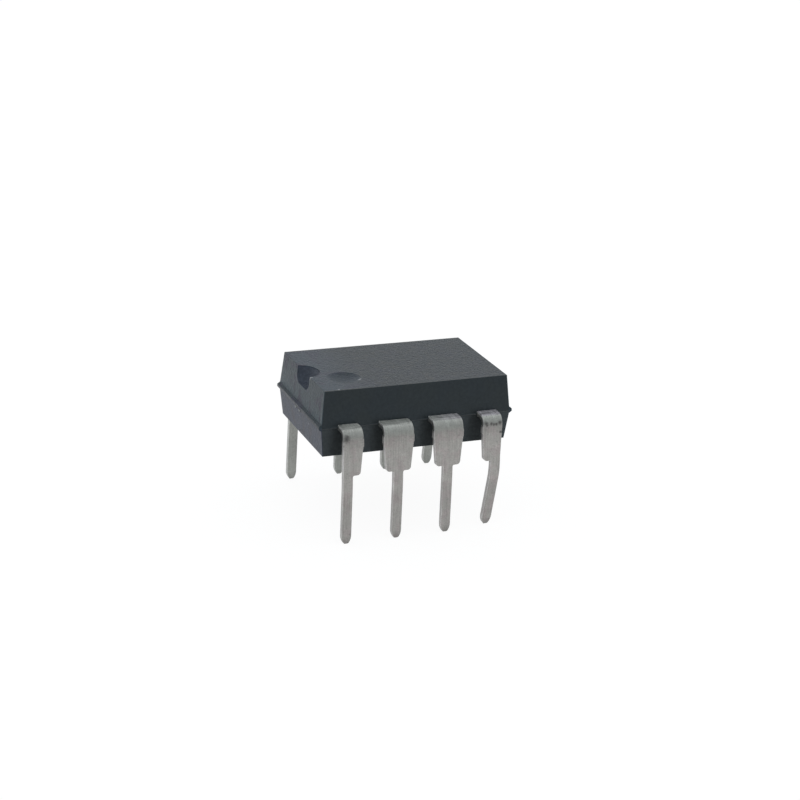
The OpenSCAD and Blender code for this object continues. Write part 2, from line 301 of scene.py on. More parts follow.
@dataclass
class MouldedBody:
    """The block of moulded resin."""

    length: float = 9.68
    width: float = 6.36
    bottom: float = 4.05
    parting: float = 5.51
    top: float = 7.29
    upper_draft: float = 5.5
    lower_draft: float = 6.0
    edge_round: float = 0.085
    edge_steps: int = 4
    fine_edges: float = 0.15
    outer_edges: float = 0.3
    back_strip: float = 0.4
    sharp_angle: float = 19
    smooth_angle: float = 30
    ridge_proud: float = 0.12
    ridge_height: float = 0.34
    ridge_crest: float = 0.13
    ridge_rise: float = 0.03
    seam_proud: float = 0.02
    seam_height: float = 0.1
    notch_radius: float = 0.93
    notch_depth: float = 0.76
    notch_fillet: float = 0.45
    fillet_steps: int = 8
    dish_diameter: float = 1.65
    dish_depth: float = 0.15
    dish_from_end: float = 1.72
    dish_from_side: float = 1.8
    dish_rings: int = 90
    ejector_diameter: float = 1.6
    ejector_depth: float = 0.05
    ejector_sides: int = 64
    tool_sides: int = 96
    tool_over: float = 0.2

    def drafted_end(self, z: float) -> float:
        """Works out how far an end's drafted face stands from the middle at a height."""
        draft = self.upper_draft if z > self.parting else self.lower_draft
        return self.length / 2 - abs(z - self.parting) * math.tan(math.radians(draft))

    def ridge_reach(self, z: float) -> float:
        """Works out how far the ridge stands out of an end's drafted face.

        Args:
            z: a height within the ridge.

        Returns:
            The distance.
        """
        above = z - self.parting - self.ridge_rise
        root = z - above + math.copysign(self.ridge_height / 2, above)
        share = min(1, (self.ridge_height / 2 - abs(above)) / (self.ridge_height / 2 - self.ridge_crest / 2))
        slope = (1 - share) * self.drafted_end(root) + share * (self.length / 2 + self.ridge_proud)
        return slope - self.drafted_end(z)

    def drafted_block(self) -> Workpiece:
        """Builds the block with its drafted sides, ridge and seam. Returns the block."""
        half_x, half_y = self.length / 2, self.width / 2
        low, high = (-half_x, -half_y, self.bottom), (half_x, half_y, self.top)
        block = Workpiece.block("moulded_body_looks", low, high).shape()
        block.cut((0, 0, self.parting), (0, 0, 1))
        for height, draft in ((self.top, self.upper_draft), (self.bottom, self.lower_draft)):
            inset = abs(height - self.parting) * math.tan(math.radians(draft))
            block.pick("VERT", lambda v: abs(v.co.z - height * MM) < TINY)
            block.resize((1 - inset / half_x, 1 - inset / half_y, 1))
        middle = self.parting + self.ridge_rise
        seam = (self.parting - self.seam_height / 2, self.parting + self.seam_height / 2)
        crest = (middle - self.ridge_crest / 2, middle + self.ridge_crest / 2)
        for z in (middle - self.ridge_height / 2, *crest, *seam, middle + self.ridge_height / 2):
            block.pick_all()
            block.cut((0, 0, z), (0, 0, 1))
        for side in (-1, 1):
            for z in (*crest, *seam, self.parting):
                block.pick("VERT", lambda v: v.co.x * side > 0 and abs(v.co.z - z * MM) < TINY)
                block.move(x=side * self.ridge_reach(z))
            block.pick("VERT", lambda v: v.co.y * side > 0 and abs(v.co.z - self.parting * MM) < TINY)
            block.move(y=side * self.seam_proud)
        return block.done()

    def notch_tool(self) -> Workpiece:
        """Builds the tool that cuts the index notch. Returns the tool."""
        draft = math.radians(self.upper_draft)
        floor = self.notch_radius - self.notch_depth * math.tan(draft)
        head = self.notch_radius + self.tool_over * math.tan(draft)
        low = (-self.length / 2, 0, self.top - self.notch_depth)
        height = self.notch_depth + self.tool_over
        tool = Workpiece.cone("notch_tool", low, height, (floor, head), self.tool_sides).shape()
        tool.pick("EDGE", lambda e: all(v.co.z < low[2] * MM + TINY for v in e.verts))
        tool.bevel(self.notch_fillet / math.tan((RIGHT_ANGLE + draft) / 2), self.fillet_steps)
        return tool.done()

    def dish_tool(self) -> Workpiece:
        """Builds the tool that sinks the dish beside lead 1, a ball. Returns the tool."""
        radius = ((self.dish_diameter / 2) ** 2 + self.dish_depth**2) / (2 * self.dish_depth)
        x, y = self.dish_from_end - self.length / 2, self.dish_from_side - self.width / 2
        return Workpiece.added(
            "dish_tool", bpy.ops.mesh.primitive_uv_sphere_add, segments=self.tool_sides,
            ring_count=self.dish_rings, radius=radius * MM,
            location=metres((x, y, self.top - self.dish_depth + radius)),
        )

    def ejector_tool(self) -> Workpiece:
        """Builds the tool that leaves the ejector mark underneath. Returns the tool."""
        low, radius = (0, 0, self.bottom - self.tool_over), self.ejector_diameter / 2
        height = self.tool_over + self.ejector_depth
        return Workpiece.cone("ejector_tool", low, height, (radius, radius), self.ejector_sides)

    def weigh_edges(self, body: Workpiece) -> None:
        """Says how far each sharp edge is rounded: finer on the ridge and the seam, below and at the back.

        Args:
            body: the body.
        """
        sharp, ridge = math.radians(self.sharp_angle), self.ridge_height / 2 * MM + TINY
        middle, low = (self.parting + self.ridge_rise) * MM, self.bottom * MM + TINY
        back = (self.width / 2 - self.back_strip) * MM

        def finest(edge: BMEdge) -> bool:
            """Tells whether an edge touches the ridge or the seam."""
            return any(abs(v.co.z - middle) < ridge for v in edge.verts)

        def outer(edge: BMEdge) -> bool:
            """Tells whether an edge lies below or at the back."""
            return all(v.co.z < low or v.co.y > back for v in edge.verts)

        body.shape()
        for weight, wanted in (
            (1, lambda e: not finest(e) and not outer(e)),
            (self.outer_edges, lambda e: outer(e) and not finest(e)),
            (self.fine_edges, finest),
        ):
            body.pick("EDGE", lambda e: e.calc_face_angle(0) > sharp and wanted(e))
            bpy.ops.transform.edge_bevelweight(value=weight)
        body.done()

    def build(self, finish: Material, worn: Material) -> Object:
        """Builds and dresses the body.

        Args:
            finish: the resin.
            worn: the resin on the rounded edges.

        Returns:
            The finished body.
        """
        body = self.drafted_block()
        body.dress(finish, worn)
        for tool in (self.notch_tool(), self.dish_tool(), self.ejector_tool()):
            body.subtract(tool)
        self.weigh_edges(body)
        width = self.edge_round * MM
        body.modify("BEVEL", width=width, segments=self.edge_steps, limit_method="WEIGHT", material=1)
        body.shade(self.smooth_angle)
        return body.hand_over("moulded_body", "resin")


@dataclass
class LeadSet:
    """The eight stamped and formed leads.

    Each tip's move off its place, along +X and +Y, is in tip_moves: lead 4 is the bent one.
    """

    body: MouldedBody
    pitch: float = 2.54
    sheet: float = 0.25
    run: float = 0.38
    bend_radius: float = 0.2
    bend_steps: int = 12
    splay: float = 3.5
    shoulder_width: float = 1.48
    foot_width: float = 1.26
    foot_height: float = 3.38
    foot_round: float = 0.18
    leg_width: float = 0.48
    leg_fillet: float = 0.08
    arc_steps: int = 5
    stub_proud: float = 0.03
    stub_slope: float = 0.02
    stub_low: float = 4.76
    stub_high: float = 5.16
    leg_rows: tuple = (1.8, 1.1)
    tip_length: float = 0.42
    tip_width: float = 0.16
    tip_bevel: float = 0.05
    tip_face: float = 0.02
    tip_steps: int = 7
    row_offset: float = 0.05
    tip_moves: tuple = (
        (-0.07, 0), (-0.07, 0), (-0.07, 0), (-0.28, 0.35),
        (-0.09, 0.03), (0.055, -0.14), (0.025, -0.09), (-0.01, -0.04),
    )
    bent_from: float = 3.2
    bent_over: float = 0.8
    bent_steps: int = 8
    shoulder_lean: float = 0.05
    lean_from: float = 5.0
    lean_over: float = 1.2
    finger_width: float = 0.6
    middle_tip: float = 1.6
    neck: float = 2.38
    arm_start: float = 0.7
    arm_end: float = 1.3
    corner_tip: float = 1.6
    outer_round: float = 0.045
    inner_round: float = 0.015
    smooth_angle: float = 32
    edge_slot: int = 2

    def outline(self) -> list[tuple]:
        """Works out the shoulder's half outline from the bend to its foot.

        Returns:
            Pairs of height and half width, downwards.
        """
        wide, foot = self.shoulder_width / 2, self.foot_width / 2
        points = [
            (self.stub_high, wide),
            (self.stub_high - self.stub_slope, wide + self.stub_proud),
            (self.stub_low + self.stub_slope, wide + self.stub_proud),
            (self.stub_low, wide),
        ]
        for step in range(self.arc_steps + 1):
            turn = RIGHT_ANGLE * step / self.arc_steps
            height = self.foot_height + self.foot_round * (1 - math.sin(turn))
            points.append((height, foot - self.foot_round * (1 - math.cos(turn))))
        return points

    def leg(self) -> list[tuple]:
        """Works out the leg's half outline from the foot of the shoulder to the tip.

        Returns:
            Pairs of height and half width, downwards.
        """
        half, tip = self.leg_width / 2, self.tip_width / 2
        points = []
        for step in range(1, self.arc_steps + 1):
            turn = RIGHT_ANGLE * step / self.arc_steps
            height = self.foot_height - self.leg_fillet * (1 - math.cos(turn))
            points.append((height, half + self.leg_fillet * (1 - math.sin(turn))))
        for step in range(self.bent_steps + 1):
            points.append((self.bent_from - self.bent_over * step / self.bent_steps, half))
        points += [(height, half) for height in (*self.leg_rows, self.tip_length)]
        arc = ((half - tip) ** 2 + self.tip_length**2) / (2 * (half - tip))
        for step in range(1, self.tip_steps + 1):
            turn = math.asin(self.tip_length / arc) * step / self.tip_steps
            height = max(0.0, self.tip_length - arc * math.sin(turn))
            points.append((height, half - arc * (1 - math.cos(turn))))
        return points

    def share(self, z: float) -> float:
        """Says how far a bent leg has moved at a height, as a share of what its tip has moved.

        Args:
            z: the height.

        Returns:
            The share, from 0 to 1.
        """
        below = max(0.0, self.bent_from - z)
        curve = min(below, self.bent_over)
        return (curve * curve / (2 * self.bent_over) + below - curve) / (self.bent_from - self.bent_over / 2)

    def next_row(self, blank: Workpiece, drop: float, places: list[float]) -> None:
        """Extrudes the selected edges down the leg and sets the new row's places along X.

        Args:
            blank: the lead's sheet, with its last row selected.
            drop: how much lower the new row is.
            places: the new row's places along X, from the lowest.
        """
        blank.extrude(y=-drop * math.tan(math.radians(self.splay)), z=-drop)
        mesh = bmesh.from_edit_mesh(blank.obj.data)
        row = sorted((v for v in mesh.verts if v.select), key=lambda v: v.co.x)
        found = [(v.index, place - v.co.x / MM) for v, place in zip(row, places, strict=True)]
        for index, step in found:
            if abs(step) * MM > TINY / 100:
                blank.pick("VERT", lambda v: v.index == index)
                blank.move(x=step)
        numbers = {index for index, _ in found}
        blank.pick("EDGE", lambda e: all(v.index in numbers for v in e.verts))

    def blank(self, form: LeadForm) -> Workpiece:
        """Builds a lead's sheet, from its finger inside the resin to its tip, at x = 0 in the near row.

        Args:
            form: how its outline runs.

        Returns:
            The sheet's outer face, still without thickness.
        """
        corner = form is LeadForm.CORNER
        half, wide = self.leg_width / 2, self.shoulder_width / 2
        bend_y = self.body.width / 2 + self.run
        sheet_top = self.body.parting + self.sheet / 2
        inner = self.arm_end if corner else self.neck
        low = (-half if corner else -wide, -bend_y)
        blank = Workpiece.plate(f"blank_{form.name.lower()}", low, (wide, -inner), sheet_top).shape()
        for x in (half,) if corner else (-half, half):
            blank.pick_all()
            blank.cut((x, 0, 0), (1, 0, 0))
        self.finger(blank, form, inner)
        blank.pick("EDGE", lambda e: all(abs(v.co.y + bend_y * MM) < TINY for v in e.verts))
        radius = self.bend_radius + self.sheet
        bpy.ops.mesh.spin(
            steps=self.bend_steps, angle=math.radians(90 - self.splay),
            center=Vector((0, -bend_y, sheet_top - radius)) * MM, axis=(-1, 0, 0),
        )
        z = sheet_top - radius + radius * math.sin(math.radians(self.splay))
        for height, out in self.outline():
            leg = half + self.leg_fillet if height == self.foot_height else half
            self.next_row(blank, z - height, [-half, leg, out] if corner else [-out, -leg, leg, out])
            z = height
        foot, reach = self.foot_height * MM, (half + self.leg_fillet) * MM + TINY
        blank.pick("EDGE", lambda e: all(abs(v.co.z - foot) < TINY and abs(v.co.x) < reach for v in e.verts))
        for height, out in self.leg():
            self.next_row(blank, z - height, [-half if corner and height > self.bent_from else -out, out])
            z = height
        return blank.done()

    def finger(self, blank: Workpiece, form: LeadForm, inner: float) -> None:
        """Draws the finger's inner end, which the resin holds.

        Args:
            blank: the lead's sheet.
            form: how its outline runs.
            inner: where the sheet ends so far.
        """
        blank.pick("EDGE", lambda e: all(abs(v.co.y + inner * MM) < TINY for v in e.verts))
        if form is LeadForm.CORNER:
            blank.extrude(y=self.arm_end - self.arm_start)
            edge, end = self.shoulder_width / 2 * MM - TINY, -self.arm_end * MM - TINY
            blank.pick("EDGE", lambda e: all(v.co.x > edge and v.co.y > end for v in e.verts))
            blank.extrude(x=1.5 * self.pitch - self.corner_tip - self.shoulder_width / 2)
            low, start = -self.leg_width / 2 * MM + TINY, -self.arm_start * MM - TINY
            blank.pick("VERT", lambda v: v.co.x < low and v.co.y > start)
            blank.move(x=self.leg_width / 2)
        else:
            narrowing = (self.shoulder_width - self.finger_width) / 2
            blank.extrude(y=narrowing)
            blank.resize((self.finger_width / self.shoulder_width, 1, 1))
            blank.extrude(y=self.neck - narrowing - self.middle_tip)

    def thicken(self, lead: Workpiece, row: Row) -> None:
        """Gives a lead's sheet its thickness and its rolled and sheared edges.

        Args:
            lead: the sheet's outer face.
            row: the row that it stands in.
        """
        thickness = self.sheet * MM
        lead.modify(
            "SOLIDIFY", thickness=thickness, offset=-1, use_even_offset=True, material_offset_rim=1
        )
        lead.face_out()
        lead.shape()
        lead.pick("VERT", lambda v: v.co.z < self.tip_face * MM)
        tip = [v.co.y for v in bmesh.from_edit_mesh(lead.obj.data).verts if v.select]
        lead.resize((1, 1 - 2 * self.tip_bevel / self.sheet, 1), (0, (min(tip) + max(tip)) / 2 / MM, 0))
        lead.note("depth", lambda v: float(any(self.looks_out(f, row) < 0 for f in v.link_faces)))
        for side, width, steps in ((1, self.outer_round, 3), (-1, self.inner_round, 2)):
            lead.pick("EDGE", lambda e: self.is_rim(e, side, row))
            lead.bevel(width, steps, self.edge_slot)
        lead.done()
        lead.shade(self.smooth_angle)

    @staticmethod
    def looks_out(face: BMFace, row: Row) -> float:
        """Tells a face on the outside of the strip, over 0, and inside, under 0, from a sheared side, 0."""
        return 0 if face.material_index else face.normal.z + row.value * face.normal.y

    def is_rim(self, edge: BMEdge, side: int, row: Row) -> bool:
        """Says whether an edge lies between a sheared side and the outer or the inner face.

        Args:
            edge: the edge.
            side: 1 for the outer face, -1 for the inner one.
            row: the row that the lead stands in.

        Returns:
            True if it does.
        """
        faces = [f for f in edge.link_faces if f.material_index == 0]
        pair = len(edge.link_faces) == 2 and len(faces) == 1
        return pair and side * self.looks_out(faces[0], row) > 0

    def shift_rows(self, lead: Workpiece, top: float, shift: Callable) -> None:
        """Moves the rows of a lead's points that lie under a height.

        Args:
            lead: the lead's sheet, in its place.
            top: the height.
            shift: takes a row's height and says how far it moves along X and Y.
        """
        lead.shape()
        heights = {round(v.co.z / MM, 5) for v in bmesh.from_edit_mesh(lead.obj.data).verts}
        for height in sorted(h for h in heights if h < top):
            lead.pick("VERT", lambda v: abs(v.co.z / MM - height) < 2e-5)
            lead.move(*shift(height))
        lead.done()

    def bend_leg(self, lead: Workpiece, along: float, across: float) -> None:
        """Bends a leg so that its tip moves along +X and +Y."""
        self.shift_rows(lead, self.bent_from, lambda z: (along * self.share(z), across * self.share(z)))

    def lean_shoulder(self, lead: Workpiece) -> None:
        """Leans a lead's shoulder and leg along its row, as the pull on the leg left them."""
        start, over = self.lean_from, self.lean_over
        self.shift_rows(lead, start, lambda z: (-self.shoulder_lean * min(1.0, (start - z) / over), 0))

    def place(self, lead: Workpiece, number: int) -> Row:
        """Puts a lead's sheet at its own place.

        Args:
            lead: the sheet, at x = 0 in the near row.
            number: the lead's number.

        Returns:
            The row that it stands in.
        """
        row = Row.NEAR if number <= 4 else Row.FAR
        along = self.pitch * ((number - 1) % 4 - 1.5)
        lead.shape()
        lead.pick_all()
        if along > 0:
            lead.resize((-1, 1, 1))
            bpy.ops.mesh.flip_normals()
        lead.move(x=along)
        if row is Row.FAR:
            bpy.ops.transform.rotate(value=math.pi, orient_axis="Z", center_override=(0, 0, 0))
        else:
            lead.move(x=self.row_offset)
        lead.done()
        self.bend_leg(lead, *self.tip_moves[number - 1])
        if number == 4:
            self.lean_shoulder(lead)
        return row

    def build(self, *finishes: Material) -> list[Object]:
        """Builds and dresses the eight leads.

        Args:
            *finishes: the tin on the faces of the sheet, on its sheared sides and on its edges.

        Returns:
            The finished leads, 1 to 8.
        """
        blanks = {form: self.blank(form) for form in LeadForm}
        leads = []
        for number in range(1, 9):
            form = LeadForm.CORNER if number in (1, 4, 5, 8) else LeadForm.MIDDLE
            lead = blanks[form].copy(f"lead_{number}_looks")
            lead.dress(*finishes)
            self.thicken(lead, self.place(lead, number))
            leads.append(lead.hand_over(f"lead_{number}", "tinned_lead"))
        for blank in blanks.values():
            blank.scrap()
        return leads


class Graph:
    """A node tree that is filled with short calls."""

    def __init__(self, tree: NodeTree) -> None:
        """Takes a node tree."""
        self.tree = tree

    def join(self, value: object, target: NodeSocket) -> None:
        """Gives a node's input what it reads.

        Args:
            value: a socket or a constant; a colour needs no fourth value.
            target: the input.
        """
        if isinstance(value, NodeSocket):
            self.tree.links.new(value, target)
        else:
            target.default_value = (*value, 1) if target.type == "RGBA" else value

    def add(self, kind: str, inputs: dict, **options: object) -> Node:
        """Adds a node.

        Args:
            kind: its kind, without the leading ShaderNode.
            inputs: what each input gets, a socket or a constant.
            **options: its settings.

        Returns:
            The node.
        """
        node = self.tree.nodes.new("ShaderNode" + kind)
        for key, value in options.items():
            setattr(node, key, value)
        for key, value in inputs.items():
            self.join(value, node.inputs[key])
        return node

    def maths(self, operation: str, *terms: object) -> NodeSocket:
        """Adds a step of arithmetic on sockets or numbers. Returns the result."""
        return self.add("Math", dict(enumerate(terms)), operation=operation).outputs[0]

    def rest(self, mask: object) -> NodeSocket:
        """Turns a mask round. Returns what is left of 1."""
        return self.maths("SUBTRACT", 1, mask)

    def product(self, *factors: object) -> NodeSocket:
        """Multiplies numbers.

        Args:
            *factors: sockets or numbers.

        Returns:
            The product.
        """
        value, *others = factors
        for other in others:
            value = self.maths("MULTIPLY", value, other)
        return value

    def place(self) -> NodeSocket:
        """Adds the place on the piece, in metres. Returns the socket."""
        return self.add("TexCoord", {}).outputs["Object"]

    def along(self, axis: str) -> NodeSocket:
        """Adds the place along the axis X, Y or Z, in metres. Returns the socket."""
        return self.add("SeparateXYZ", {0: self.place()}).outputs[axis]

    def ramp(self, value: object, low: object, high: object) -> NodeSocket:
        """Makes a mask that rises smoothly from 0 where a value is low to 1 where it is high. Returns it."""
        inputs = {"Value": value, "From Min": low, "From Max": high}
        return self.add("MapRange", inputs, interpolation_type="SMOOTHSTEP").outputs[0]

    def between(self, value: object, limits: tuple) -> NodeSocket:
        """Makes a mask that rises between two places in millimetres. Returns it."""
        return self.ramp(value, *metres(limits))

    def noise(self, scale: object, detail: float, stretch: tuple = (1, 1, 1)) -> NodeSocket:
        """Adds noise from 0 to 1 of so many features on a metre of the stretched place. Returns it."""
        spot = self.add("Mapping", {"Vector": self.place(), "Scale": stretch}).outputs[0]
        return self.add("TexNoise", {"Vector": spot, "Scale": scale, "Detail": detail}).outputs[0]

    def waver(self, noise: object, contrast: object) -> NodeSocket:
        """Makes a factor round 1 of noise. Returns it."""
        return self.maths("MULTIPLY_ADD", self.maths("SUBTRACT", noise, 0.5), contrast, 1)

    def layers(self, colour: object, *coats: tuple) -> NodeSocket:
        """Lays coats over a colour.

        Args:
            colour: the colour below.
            *coats: pairs of a mask and a colour, from the lowest.

        Returns:
            The colour.
        """
        for mask, coat in coats:
            colour = self.add("Mix", {0: mask, 6: colour, 7: coat}, data_type="RGBA").outputs[2]
        return colour

    def toned(self, colour: object, *values: object) -> NodeSocket:
        """Scales a colour.

        Args:
            colour: the colour.
            *values: the factors.

        Returns:
            The colour.
        """
        for value in values:
            colour = self.add("VectorMath", {0: colour, "Scale": value}, operation="SCALE").outputs[0]
        return colour

    def curve(self, value: NodeSocket, points: tuple) -> NodeSocket:
        """Maps a height by a curve of straight pieces.

        Args:
            value: the height.
            points: pairs of a height in millimetres and what it becomes, up to 2, from the lowest.

        Returns:
            What it becomes.
        """
        first, last = points[0][0], points[-1][0]
        inputs = {"Value": value, "From Min": first * MM, "From Max": last * MM}
        ramp = self.add("ValToRGB", {"Fac": self.add("MapRange", inputs).outputs[0]})
        stops = ramp.color_ramp.elements
        stops.remove(stops[1])
        for place, becomes in points[1:]:
            stops.new((place - first) / (last - first))
        for stop, (place, becomes) in zip(stops, points, strict=True):
            stop.position = (place - first) / (last - first)
            stop.color = (becomes / 2, becomes / 2, becomes / 2, 1)
        return self.maths("MULTIPLY", ramp.outputs["Color"], 2)

    def effect(self, group: NodeTree, **values: object) -> NodeSocket:
        """Places a shared effect.

        Args:
            group: its node group.
            **values: what its inputs get.

        Returns:
            Its output.
        """
        node = self.add("Group", {}, node_tree=group)
        for key, value in values.items():
            node.inputs[key.capitalize()].default_value = value
        return node.outputs[0]

    def seen(self, strength: float) -> NodeSocket:
        """Makes a strength that holds only for what the camera sees, directly or in metal or glass.

        Args:
            strength: the strength.

        Returns:
            The socket with the strength.
        """
        rays = self.add("LightPath", {}).outputs
        seen = self.maths("MAXIMUM", rays["Is Camera Ray"], rays["Is Glossy Ray"])
        return self.product(self.maths("MAXIMUM", seen, rays["Is Transmission Ray"]), strength)


@dataclass(frozen=True)
class Patches:
    """How soft patches lie on a finish: so many on a metre, where the noise is high, so strong."""

    scale: float
    low: float = 0.45
    high: float = 0.6
    strength: float = 1.0


def new_effect(name: str, output: str, **inputs: float) -> tuple[Graph, dict]:
    """Starts the node group of an effect.

    Args:
        name: its name.
        output: the name of what it puts out.
        **inputs: its inputs and their first values; a tuple stands for a place.

    Returns:
        The group's graph, and the sockets of its inputs by name.
    """
    tree = bpy.data.node_groups.new(name, "ShaderNodeTree")
    for key, value in inputs.items():
        kind = "NodeSocketVector" if isinstance(value, tuple) else "NodeSocketFloat"
        tree.interface.new_socket(key.capitalize(), in_out="INPUT", socket_type=kind).default_value = value
    tree.interface.new_socket(output, in_out="OUTPUT", socket_type="NodeSocketFloat")
    source = tree.nodes.new("NodeGroupInput")
    return Graph(tree), {key: source.outputs[key.capitalize()] for key in inputs}


def end_effect(graph: Graph, result: NodeSocket) -> NodeTree:
    """Ends the node group of an effect with what it puts out. Returns the group."""
    graph.tree.links.new(result, graph.tree.nodes.new("NodeGroupOutput").inputs[0])
    return graph.tree


class Effects:
    """The effects that several finishes share, each a node group that is built once."""

    def __init__(self) -> None:
        """Builds the node groups: rolling and drawing leave lines that run along the strip."""
        self.grain = self.build_waver("fine_grain", 3, (1, 1, 1))
        self.drawn_lines = self.build_waver("drawn_lines", 2, (1, 0.05, 0.05))
        self.patches = self.build_patches()
        self.specks = self.build_specks()
        self.mark = self.build_mark()

    @staticmethod
    def build_waver(name: str, detail: float, stretch: tuple) -> NodeTree:
        """Builds a factor round 1 of noise with some detail, stretched along an axis. Returns its group."""
        graph, given = new_effect(name, "Tone", scale=9000.0, contrast=0.2)
        return end_effect(graph, graph.waver(graph.noise(given["scale"], detail, stretch), given["contrast"]))

    @staticmethod
    def build_patches() -> NodeTree:
        """Builds soft patches, from 0 to 1. Returns their group."""
        graph, given = new_effect("soft_patches", "Mask", scale=2000.0, low=0.45, high=0.6)
        return end_effect(graph, graph.ramp(graph.noise(given["scale"], 2), given["low"], given["high"]))

    @staticmethod
    def build_specks() -> NodeTree:
        """Builds sparse specks, from 0 to 1. Returns their group."""
        graph, given = new_effect("sparse_specks", "Mask", scale=4000.0, share=0.1, radius=0.2)
        cells = graph.add("TexVoronoi", {"Vector": graph.place(), "Scale": given["scale"]})
        chance = graph.add("SeparateColor", {0: cells.outputs["Color"]}).outputs[0]
        chosen = graph.maths("LESS_THAN", chance, given["share"])
        inside = graph.ramp(cells.outputs["Distance"], given["radius"], 0)
        return end_effect(graph, graph.product(chosen, inside))

    @staticmethod
    def build_mark() -> NodeTree:
        """Builds the mask of one ragged mark round a place. Returns its group."""
        graph, given = new_effect("single_mark", "Mask", place=(0.0, 0.0, 0.0), radius=0.0001)
        apart = graph.add("VectorMath", {0: graph.place(), 1: given["place"]}, operation="DISTANCE")
        rough = graph.maths("MULTIPLY_ADD", graph.noise(12000, 2), 1.2, 0.4)
        ragged = graph.product(apart.outputs["Value"], rough)
        return end_effect(graph, graph.ramp(ragged, given["radius"], 0))

    def patch(self, graph: Graph, patches: Patches) -> NodeSocket:
        """Lays soft patches on a finish. Returns their mask."""
        mask = graph.effect(self.patches, scale=patches.scale, low=patches.low, high=patches.high)
        return graph.product(mask, patches.strength)

    def marks(self, graph: Graph, spots: tuple, mask: object = 0.0) -> NodeSocket:
        """Adds marks to a mask.

        Args:
            graph: the material's graph.
            spots: pairs of a place and a radius, in millimetres.
            mask: what is masked so far.

        Returns:
            The mask.
        """
        for place, radius in spots:
            mark = graph.effect(self.mark, place=metres(place), radius=radius * MM)
            mask = graph.maths("MAXIMUM", mask, mark)
        return mask


class Finish:
    """What every finish has: a material and its shader."""

    @staticmethod
    def start(name: str) -> tuple[Material, Graph, Node]:
        """Starts a material.

        Args:
            name: its name.

        Returns:
            The material, its graph and its shader.
        """
        made = bpy.data.materials.new(name)
        made.use_nodes = True
        return made, Graph(made.node_tree), made.node_tree.nodes["Principled BSDF"]

    @staticmethod
    def feed(graph: Graph, shader: Node, **inputs: object) -> None:
        """Feeds the shader's inputs.

        Args:
            graph: the material's graph.
            shader: its shader.
            **inputs: sockets or constants, by the inputs' names in small letters with underscores.
        """
        named = {socket.name.lower().replace(" ", "_"): socket for socket in reversed(shader.inputs)}
        for key, value in inputs.items():
            graph.join(value, named[key])

    @staticmethod
    def bump(graph: Graph, height: NodeSocket, depth: float) -> NodeSocket:
        """Makes a surface rough, so many millimetres deep. Returns the normal."""
        return graph.add("Bump", {"Height": height, "Distance": depth * MM, "Strength": 1.0}).outputs[0]


@dataclass(frozen=True)
class Hollow:
    """A hollow of the top whose inside is painted lighter, as painted light: a mask that rises between two
    radii round its axis and between two heights, over its floor.
    """

    axis: tuple
    radii: tuple
    heights: tuple
    floor: float

    def mask(self, graph: Graph, height: NodeSocket) -> NodeSocket:
        """Builds the mask of the inside of the hollow.

        Args:
            graph: the material's graph.
            height: the height.

        Returns:
            The mask.
        """
        flat = graph.add("VectorMath", {0: graph.place(), 1: (1, 1, 0)}, operation="MULTIPLY").outputs[0]
        ends = {0: flat, 1: (*metres(self.axis), 0)}
        apart = graph.add("VectorMath", ends, operation="DISTANCE").outputs["Value"]
        above = graph.maths("GREATER_THAN", height, self.floor * MM)
        return graph.product(graph.between(apart, self.radii), graph.between(height, self.heights), above)


